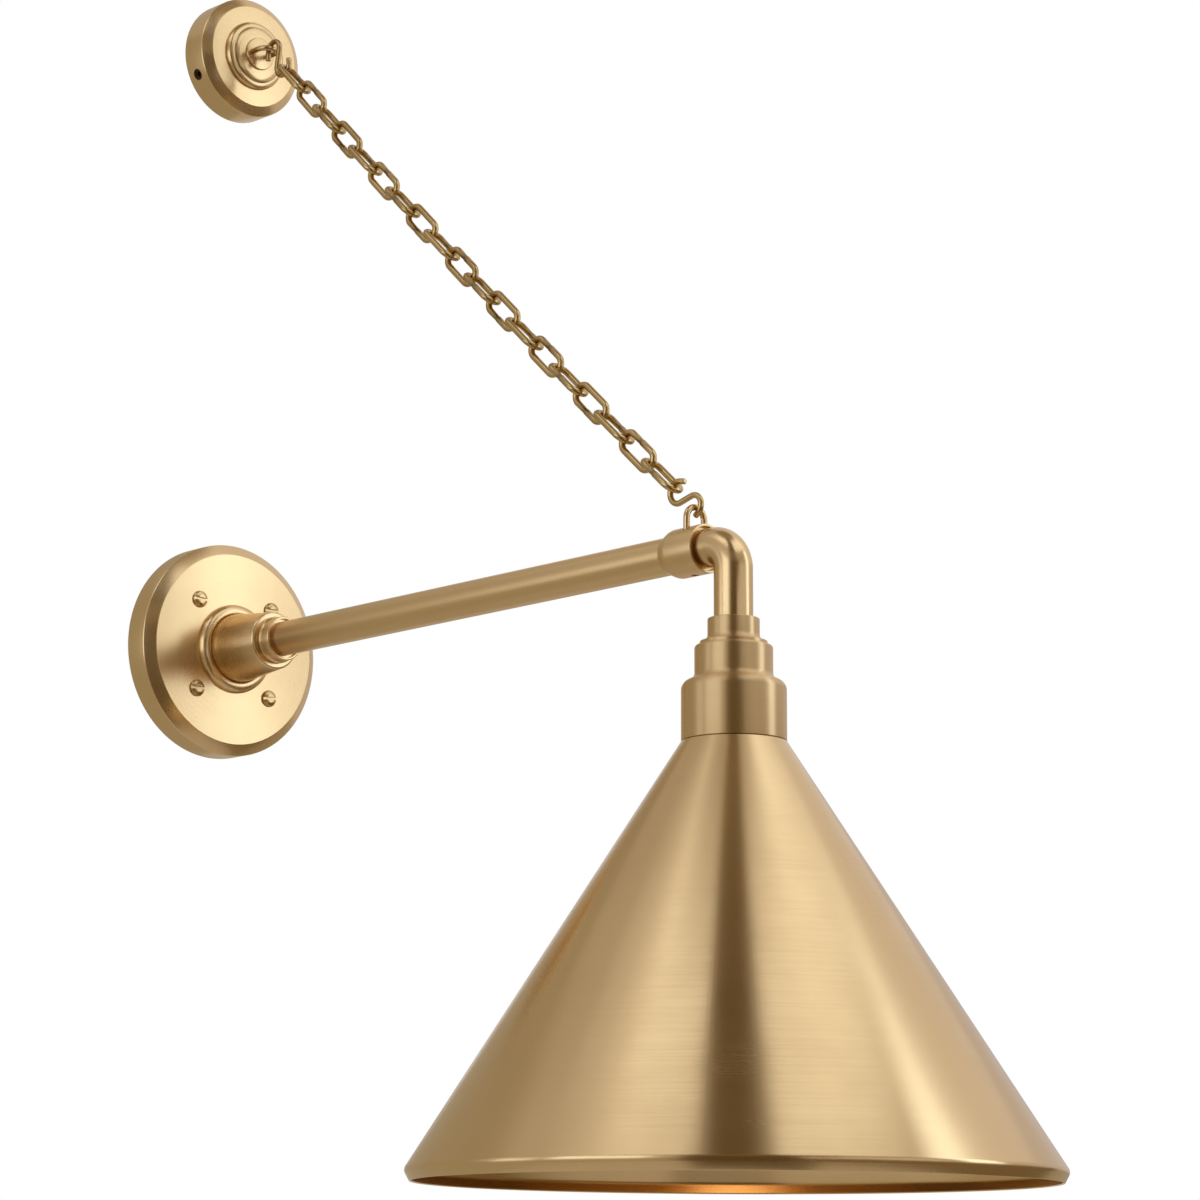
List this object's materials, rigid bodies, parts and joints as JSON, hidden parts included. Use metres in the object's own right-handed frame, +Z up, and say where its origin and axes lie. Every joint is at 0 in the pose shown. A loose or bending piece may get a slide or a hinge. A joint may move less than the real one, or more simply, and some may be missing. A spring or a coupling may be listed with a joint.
{
  "type": "wall sconce",
  "caption": "Hanging pendant wall sconce: round backplate, straight arm and elbow with a large cone shade, and a chain from the arm's end up to a small wall boss.",
  "frame": {"origin": "centre of the backplate's wall face, on the arm's axis, in the plane of the wall", "axes": "+Z up the wall, +Y into the wall, +X to the right of someone facing the wall"},
  "size_m": [0.3296, 0.6098, 0.7423],
  "materials": {
    "satin_brass": "satin brushed natural brass",
    "chain_brass": "dull drawn brass wire",
    "screw_brass": "plain turned brass",
    "zinc_steel": "zinc plated",
    "lamp_holder": "white glazed",
    "lamp_shell": "bright rolled",
    "lamp_glass": "pearl, lit warm"
  },
  "bodies": {
    "root": {"box_plate": "zinc_steel", "standoffs": "zinc_steel", "ground_screw": "screw_brass", "backplate": "satin_brass", "plate_screws": "screw_brass", "hub_ring": "satin_brass", "hub": "satin_brass", "hub_collar": "satin_brass", "arm_nipple": "zinc_steel", "lock_washer": "zinc_steel", "hub_locknut": "zinc_steel", "arm_tube": "satin_brass", "arm_coupling": "satin_brass", "coupling_eye": "chain_brass", "coupling_set_screw": "screw_brass", "boss_plate": "zinc_steel", "boss_canopy": "satin_brass", "boss_dome": "satin_brass", "boss_disc": "satin_brass", "boss_grub_screws": "screw_brass", "boss_eye": "chain_brass", "boss_eye_nuts": "zinc_steel"},
    "chain": {"s_hook_upper": "chain_brass", "s_hook_lower": "chain_brass", "chain_link_01": "chain_brass", "chain_link_02": "chain_brass", "chain_link_03": "chain_brass", "chain_link_04": "chain_brass", "chain_link_05": "chain_brass", "chain_link_06": "chain_brass", "chain_link_07": "chain_brass", "chain_link_08": "chain_brass", "chain_link_09": "chain_brass", "chain_link_10": "chain_brass", "chain_link_11": "chain_brass", "chain_link_12": "chain_brass", "chain_link_13": "chain_brass", "chain_link_14": "chain_brass", "chain_link_15": "chain_brass", "chain_link_16": "chain_brass", "chain_link_17": "chain_brass", "chain_link_18": "chain_brass", "chain_link_19": "chain_brass"},
    "shade_arm": {"elbow_tube": "satin_brass", "neck_collar": "satin_brass", "socket_cup": "satin_brass", "socket_nipple": "zinc_steel", "cup_locknut": "zinc_steel", "socket_body": "lamp_holder", "socket_shell": "lamp_shell", "socket_contact": "screw_brass", "bulb_contact": "screw_brass", "bulb_base": "lamp_shell", "bulb_glass": "lamp_glass", "shade": "satin_brass", "shade_ring": "lamp_holder"}
  },
  "joints": [
    {"name": "chain_swing", "type": "hinge", "parent": "root", "child": "chain", "pos_m": [0, -0.417, 0.02335], "axis": [0, 0.7273, 0.6863], "range_deg": [-10, 10]},
    {"name": "elbow_swivel", "type": "hinge", "parent": "root", "child": "shade_arm", "pos_m": [0, -0.42, 0], "axis": [0, 1, 0], "range_deg": [-45, 45]}
  ]
}
